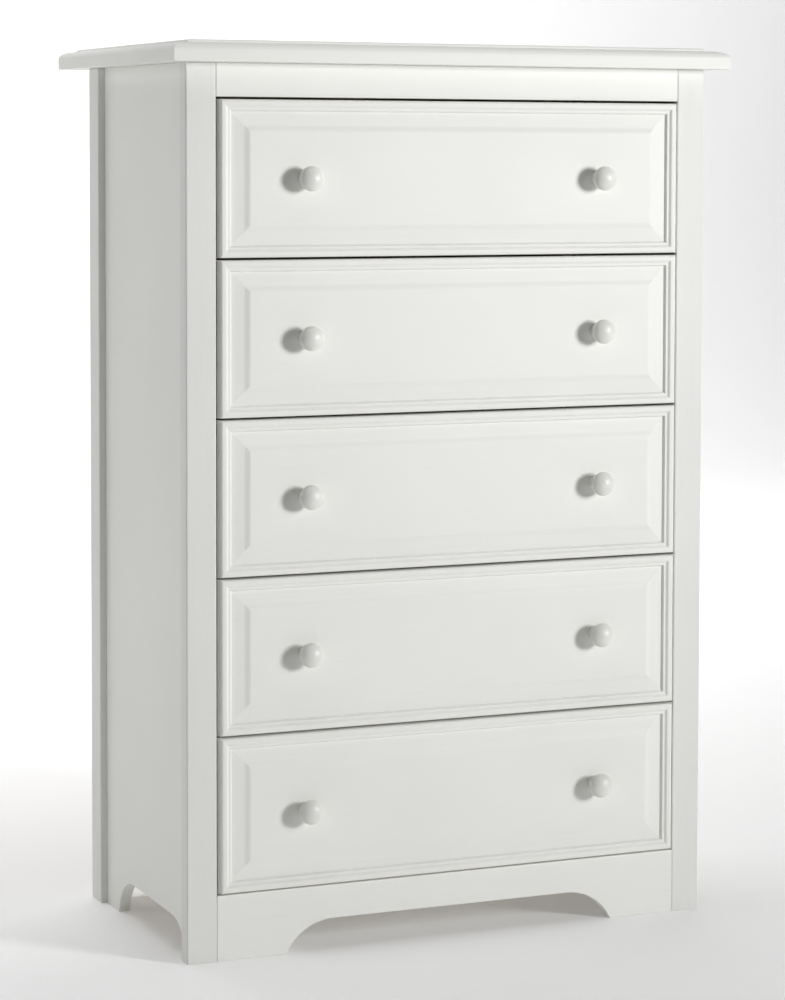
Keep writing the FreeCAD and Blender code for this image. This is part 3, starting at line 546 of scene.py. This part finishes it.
class CHEST_OT_top_panel(Operator):
    """Top panel: a board whose front and side edges carry a band, a round, a ledge and a soft lip"""

    bl_idname = "chest.top_panel"
    bl_label = "Top Panel"

    def execute(self, context):
        sizes = context.scene.chest_top
        low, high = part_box("top_panel")
        ledge = sizes.round_width + sizes.ledge_width
        ledge_level = sizes.band_height + sizes.round_height
        lip_height = high.z - low.z - ledge_level
        upright_share = 0.3  # of the lip's height, below its round
        lip_lean = 0.2 * MM
        lip_round = ledge_level + upright_share * lip_height
        profile = [(0, sizes.band_height)]
        profile += arc(
            (sizes.round_width, sizes.band_height), (sizes.round_width, sizes.round_height), 180, 90, steps=9,
        )
        profile.append((ledge, ledge_level))
        profile.append((ledge + lip_lean, lip_round))
        profile += arc(
            (ledge + sizes.lip_width, lip_round),
            (sizes.lip_width - lip_lean, (1 - upright_share) * lip_height), 180, 90, steps=5,
        )
        bm = bmesh.new()
        # The board is moulded all round and too long at the rear, and its rear end is then sawn off.
        waste = 10 * MM
        spare = profile[-1][0] + waste
        box_with(bm, low, Vector((high.x, high.y + spare, low.z + sizes.band_height)))
        run_moulding(bm, facing(bm, UP), profile)
        everything = [*bm.verts, *bm.edges, *bm.faces]
        cut = bmesh.ops.bisect_plane(
            bm, geom=everything, plane_co=(0, high.y, 0), plane_no=(0, 1, 0), clear_outer=True,
        )["geom_cut"]
        bmesh.ops.edgeloop_fill(bm, edges=[item for item in cut if isinstance(item, bmesh.types.BMEdge)])
        bmesh.ops.recalc_face_normals(bm, faces=bm.faces)
        lower = [edge for edge in corners_of(bm) if all(vert.co.z < low.z + NEAR for vert in edge.verts)]
        round_over(bm, lower, sizes.arris, segments=3)
        finish_piece(
            bm, "moulded_top", "carcass", ["top_panel"], satin_paint("X"), slants(0, 1),
        )
        return {"FINISHED"}


class CHEST_OT_legs(Operator):
    """Front stiles and rear posts, full height, with rounded edges"""

    bl_idname = "chest.legs"
    bl_label = "Legs"

    def execute(self, context):
        arris = context.scene.chest_board.leg_arris
        for side in SIDES:
            for leg in ("front_stile", "rear_post"):
                low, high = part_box(f"{side}_{leg}")
                bm = bmesh.new()
                box_with(bm, low, high)
                shown = bm.edges
                if leg == "front_stile":
                    # Rails and panels meet a stile everywhere but at its front, so the rest stays square.
                    face = low.y + AT_END
                    shown = [edge for edge in bm.edges if all(vert.co.y < face for vert in edge.verts)]
                round_over(bm, shown, arris, segments=4)
                # The legs use the darker copy of the white paint, which paints shade on them.
                finish_piece(
                    bm, f"{side}_{leg}_leg", "carcass", [f"{side}_{leg}"],
                    satin_paint("Z", is_shaded_leg=True),
                )
        return {"FINISHED"}


class CHEST_OT_panels(Operator):
    """Side panels, top rail and apron, with their arches and rounded edges"""

    bl_idname = "chest.panels"
    bl_label = "Panels and Rails"

    def execute(self, context):
        arris = context.scene.chest_board.panel_arris
        for side in SIDES:
            node = f"{side}_side_panel"
            bm = from_node(node)
            # The end that meets the front stile stays square.
            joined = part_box(node)[0].y + AT_END
            shown = [edge for edge in corners_of(bm) if any(vert.co.y > joined for vert in edge.verts)]
            round_over(bm, shown, arris, segments=3)
            finish_piece(
                bm, f"{side}_arched_panel", "carcass", [node], satin_paint("Z"),
            )
        for node, name in (("top_rail", "front_top_rail"), ("apron", "arched_apron")):
            eased_board(node, name, "carcass", satin_paint("X"), arris)
        return {"FINISHED"}


class CHEST_OT_frame(Operator):
    """Back panel, rear rails, cleats, corner blocks and battens"""

    bl_idname = "chest.frame"
    bl_label = "Back and Hidden Frame"

    def execute(self, context):
        sizes = context.scene.chest_board
        eased_board(
            "back_panel", "back_sheet", "carcass", hardboard(), sizes.sheet_arris,
            segments=2,
        )
        boards = {
            "rear_top_rail": "X",
            "rear_bottom_rail": "X",
            "top_cleats": "Y",
            "corner_blocks": "Z",
            "left_runner_battens": "Y",
            "right_runner_battens": "Y",
        }
        for node, along in boards.items():
            eased_board(
                node, node + "_planed", "carcass", pine(along), sizes.frame_arris,
                segments=2,
            )
        return {"FINISHED"}


# ---------------------------------------------------------------- drawers


class CHEST_OT_fronts(Operator):
    """Drawer fronts: a band, a bead, a rising bevel and a flat field, with a set-back tongue at each end"""

    bl_idname = "chest.fronts"
    bl_label = "Drawer Fronts"

    def execute(self, context):
        sizes = context.scene.chest_front
        bead_rise = 0.2 * MM
        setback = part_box("left_front_stile")[0].y + sizes.tongue_depth
        tongue = Vector((sizes.tongue, 0, 0))
        for number in DRAWERS:
            low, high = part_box(f"drawer_{number}_front")
            face = high.y - low.y
            edge = sizes.edge_round
            foot = face - sizes.quirk_drop
            bead = face - sizes.bead_drop
            bead_top = bead + bead_rise
            profile = [(0, face - edge)]
            profile += arc((edge, face - edge), (edge, edge), 180, 90, steps=5)
            profile.append((sizes.band_end, face))
            profile += soft_step((sizes.band_end, face), (sizes.bead_start, bead))
            profile += soft_step((sizes.bead_start, bead), (sizes.bead_end, bead_top), steps=2)
            profile += soft_step((sizes.bead_end, bead_top), (sizes.quirk, foot))
            profile.append((sizes.bevel_start, foot))
            profile.append((sizes.bevel_end, face - sizes.bevel_drop))
            profile += soft_step(profile[-1], (sizes.field_inset, face - sizes.field_drop), steps=10)
            bm = bmesh.new()
            box_with(bm, Vector((low.x, setback, low.z)) - tongue, high + tongue)
            for end in (low.x, high.x):
                bmesh.ops.bisect_plane(
                    bm, geom=[*bm.verts, *bm.edges, *bm.faces], plane_co=(end, 0, 0), plane_no=(1, 0, 0),
                )
            raised = bmesh.ops.extrude_discrete_faces(bm, faces=[facing(bm, FRONT)])["faces"][0]
            bmesh.ops.translate(bm, vec=(0, high.y - profile[0][1] - setback, 0), verts=raised.verts)
            run_moulding(bm, raised, profile)
            finish_piece(
                bm, f"moulded_front_{number}", f"drawer_{number}", [f"drawer_{number}_front"],
                satin_paint("X"), slants(0, 2),
            )
        return {"FINISHED"}


class CHEST_OT_knobs(Operator):
    """Knobs: a collar, a waisted neck and a flattened ball, turned in one"""

    bl_idname = "chest.knobs"
    bl_label = "Knobs"

    def execute(self, context):
        sizes = context.scene.chest_knob
        for number in DRAWERS:
            low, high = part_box(f"drawer_{number}_knobs")
            radius = (high.z - low.z) / 2
            projection = high.y - low.y
            collar = sizes.collar_diameter / 2
            neck = sizes.neck_diameter / 2
            lip = 0.7 * MM
            cove = 1.5 * MM
            throat = 1 * MM
            shoulder = sizes.girth_height - sizes.neck_height
            # The field of a front lies deeper than its band, and the collar reaches back to it.
            base = -context.scene.chest_front.field_drop
            profile = [(0, base), (collar, base), (collar, sizes.collar_height - lip)]
            profile += arc((collar - lip, sizes.collar_height - lip), (lip, lip), 0, 90, steps=3)
            profile += soft_step(
                (collar - lip, sizes.collar_height), (neck, sizes.collar_height + cove), steps=3,
            )
            profile.append((neck, sizes.neck_height - throat))
            lowest = -math.degrees(math.acos(neck / radius))
            girth = (0, sizes.girth_height)
            profile += arc(girth, (radius, shoulder), lowest, 0, steps=8)
            profile += arc(girth, (radius, projection - sizes.girth_height), 0, 90, steps=12)
            bm = bmesh.new()
            verts = [bm.verts.new((out, -up, 0)) for out, up in profile]
            for first, second in zip(verts, verts[1:]):
                bm.edges.new((first, second))
            bmesh.ops.spin(
                bm, geom=[*bm.verts, *bm.edges], cent=(0, 0, 0), axis=(0, 1, 0), angle=math.tau, steps=56,
                use_merge=True,
            )
            bmesh.ops.remove_doubles(bm, verts=bm.verts, dist=NEAR)
            bmesh.ops.recalc_face_normals(bm, faces=bm.faces)
            height = (low.z + high.z) / 2
            first_knob = [*bm.verts, *bm.edges, *bm.faces]
            bmesh.ops.translate(bm, vec=(low.x + radius, high.y, height), verts=bm.verts)
            second = bmesh.ops.duplicate(bm, geom=first_knob)["geom"]
            moved = [item for item in second if isinstance(item, bmesh.types.BMVert)]
            bmesh.ops.translate(bm, vec=(high.x - low.x - 2 * radius, 0, 0), verts=moved)
            finish_piece(
                bm, f"turned_knobs_{number}", f"drawer_{number}", [f"drawer_{number}_knobs"],
                knob_paint(),
            )
        return {"FINISHED"}


class CHEST_OT_boxes(Operator):
    """Drawer boxes: sides, backs and bottoms"""

    bl_idname = "chest.boxes"
    bl_label = "Drawer Boxes"

    def execute(self, context):
        sizes = context.scene.chest_board
        foil = foiled_board()
        for number in DRAWERS:
            body = f"drawer_{number}"
            for side in SIDES:
                node = f"{body}_{side}_side"
                bm = from_node(node)
                ease_top(bm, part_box(node)[1], sizes.box_arris)
                finish_piece(bm, f"{body}_{side}_board", body, [node], birch("Y"))
            low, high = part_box(f"{body}_back")
            bm = bmesh.new()
            box_with(bm, low, high)
            ease_top(bm, high, sizes.box_arris)
            finish_piece(bm, f"{body}_back_board", body, [f"{body}_back"], birch("X"))
            eased_board(
                f"{body}_bottom", f"{body}_bottom_sheet", body, foil, sizes.sheet_arris,
                segments=2,
            )
        return {"FINISHED"}


class CHEST_OT_runners(Operator):
    """Steel runners of the cabinet and of the drawers"""

    bl_idname = "chest.runners"
    bl_label = "Runners"

    def execute(self, context):
        arris = context.scene.chest_board.steel_arris
        steel = enamelled_steel()
        for side in SIDES:
            eased_board(
                f"{side}_cabinet_runners", f"{side}_runner_channels", "carcass", steel,
                arris, segments=2,
            )
        for number in DRAWERS:
            body = f"drawer_{number}"
            eased_board(
                f"{body}_runners", f"{body}_rails", body, steel, arris, segments=2,
            )
        return {"FINISHED"}


class CHEST_OT_screws(Operator):
    """Screws of the runners, the top panel and the knobs"""

    bl_idname = "chest.screws"
    bl_label = "Screws"

    def execute(self, context):
        plate = zinc_plate()
        names = ["runner_screws", "top_screws"] + [f"drawer_{number}_knob_screws" for number in DRAWERS]
        for name in names:
            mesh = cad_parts[name].data
            mesh.materials.clear()
            mesh.materials.append(plate)
        return {"FINISHED"}


# ---------------------------------------------------------------- studio


def area_light(name, place, target, width, height, watts):
    """A white rectangular light, turned to face its target."""
    light = bpy.data.lights.new(name, "AREA")
    light.shape = "RECTANGLE"
    light.size = width
    light.size_y = height
    light.energy = watts
    lamp = bpy.data.objects.new(name, light)
    lamp.location = place
    lamp.rotation_euler = (target - place).to_track_quat("-Z", "Y").to_euler()
    bpy.context.scene.collection.objects.link(lamp)


class CHEST_OT_stage(Operator):
    """Seamless paper floor, soft studio lights and the camera"""

    bl_idname = "chest.stage"
    bl_label = "Stage"

    def execute(self, context):
        sizes = context.scene.chest_studio
        scene = context.scene
        scene.view_settings.view_transform = "Standard"
        face_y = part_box("left_front_stile")[0].y

        # The paper, in metres: a floor that bends up into a wall behind the chest.
        bend_radius = 1.5
        half_width = 9.0
        front = -8.0
        rear = 4.5
        wall_height = 5.0
        bm = bmesh.new()
        ends = [bm.verts.new((side * half_width, front, 0)) for side in (-1, 1)]
        front_edge = bm.edges.new(ends)
        pulled = bmesh.ops.extrude_edge_only(bm, edges=[front_edge])["geom"]
        verts = [item for item in pulled if isinstance(item, bmesh.types.BMVert)]
        bmesh.ops.translate(bm, vec=(0, rear - front, 0), verts=verts)
        edge = [item for item in pulled if isinstance(item, bmesh.types.BMEdge)]
        bent = bmesh.ops.spin(
            bm, geom=[*verts, *edge], cent=(0, rear, bend_radius), axis=(1, 0, 0), angle=math.pi / 2,
            steps=16,
        )["geom_last"]
        edge = [item for item in bent if isinstance(item, bmesh.types.BMEdge)]
        pulled = bmesh.ops.extrude_edge_only(bm, edges=edge)["geom"]
        verts = [item for item in pulled if isinstance(item, bmesh.types.BMVert)]
        bmesh.ops.translate(bm, vec=(0, 0, wall_height), verts=verts)
        bmesh.ops.remove_doubles(bm, verts=bm.verts, dist=MM)
        bmesh.ops.recalc_face_normals(bm, faces=bm.faces)
        crisp(bm)
        mesh = bpy.data.meshes.new("paper_sweep")
        bm.to_mesh(mesh)
        bm.free()
        mesh.materials.append(studio_paper())
        sweep = bpy.data.objects.new("paper_sweep", mesh)
        scene.collection.objects.link(sweep)

        world = bpy.data.worlds.new("studio_room")
        world.use_nodes = True
        room = world.node_tree.nodes["Background"]
        room.inputs["Color"].default_value = (1, 1, 1, 1)
        room.inputs["Strength"].default_value = sizes.room_light
        scene.world = world

        reach = Vector((math.sin(sizes.key_angle), -math.cos(sizes.key_angle), 0)) * sizes.key_distance
        key_place = (reach.x, face_y + reach.y, sizes.key_height)
        lights = (
            # name, place, what it is aimed at, width, height, strength
            ("key_softbox", key_place, (-0.35, face_y, 1.14), 0.8, 1.1, sizes.key_power),
            ("overhead_softbox", (0, 0, 3.6), (0, 0, 0), 3.5, 3.5, sizes.top_power),
            ("side_softbox", (-3.4, 0.35, 2.1), (-0.4, 0.1, 1.0), 2, 2, sizes.side_power),
            ("backdrop_strip", (0, 2, 4.5), (0, 6, 1.8), 6, 1.5, sizes.wall_power),
        )
        for name, place, target, width, height, watts in lights:
            area_light(name, Vector(place), Vector(target), width, height, watts)
        bpy.data.lights["key_softbox"].spread = sizes.key_spread

        camera = bpy.data.cameras.new("camera")
        camera.sensor_fit = "AUTO"
        camera.sensor_width = 36
        camera.lens = sizes.camera_lens
        camera.shift_x = sizes.shift_across
        camera.shift_y = sizes.shift_up
        camera.clip_end = 60
        eye = bpy.data.objects.new("camera", camera)
        turn = Matrix.Rotation(-sizes.camera_turn, 3, "Z")
        tilt = Matrix.Rotation(math.pi / 2 + sizes.camera_tilt, 3, "X")
        roll = Matrix.Rotation(sizes.camera_roll, 3, "Z")
        eye.rotation_euler = (turn @ tilt @ roll).to_euler()
        eye.location = (sizes.camera_x, face_y - sizes.camera_y, sizes.camera_z)
        scene.collection.objects.link(eye)
        scene.camera = eye
        return {"FINISHED"}


class CHEST_PT_panel(Panel):
    """The pieces of the chest in the order in which they are made"""

    bl_idname = "CHEST_PT_panel"
    bl_label = "Tall Chest of Drawers"
    bl_space_type = "VIEW_3D"
    bl_region_type = "UI"
    bl_category = "Chest"

    def draw(self, context):
        for operator in OPERATORS:
            self.layout.operator(operator.bl_idname)
        for group in GROUPS:
            values = getattr(context.scene, group)
            box = self.layout.box()
            for name in values.bl_rna.properties.keys():
                if name not in ("rna_type", "name"):
                    box.prop(values, name)


OPERATORS = (
    CHEST_OT_stage,
    CHEST_OT_top_panel,
    CHEST_OT_legs,
    CHEST_OT_panels,
    CHEST_OT_frame,
    CHEST_OT_fronts,
    CHEST_OT_knobs,
    CHEST_OT_boxes,
    CHEST_OT_runners,
    CHEST_OT_screws,
)


def register():
    for group in GROUPS.values():
        bpy.utils.register_class(group)
    for name, group in GROUPS.items():
        setattr(bpy.types.Scene, name, PointerProperty(type=group))
    for operator in OPERATORS:
        bpy.utils.register_class(operator)
    bpy.utils.register_class(CHEST_PT_panel)


def unregister():
    bpy.utils.unregister_class(CHEST_PT_panel)
    for operator in reversed(OPERATORS):
        bpy.utils.unregister_class(operator)
    for name in GROUPS:
        delattr(bpy.types.Scene, name)
    for group in reversed(GROUPS.values()):
        bpy.utils.unregister_class(group)


def main():
    register()
    for operator in OPERATORS:
        group, name = operator.bl_idname.split(".")
        getattr(getattr(bpy.ops, group), name)()


if __name__ == "__main__":
    main()
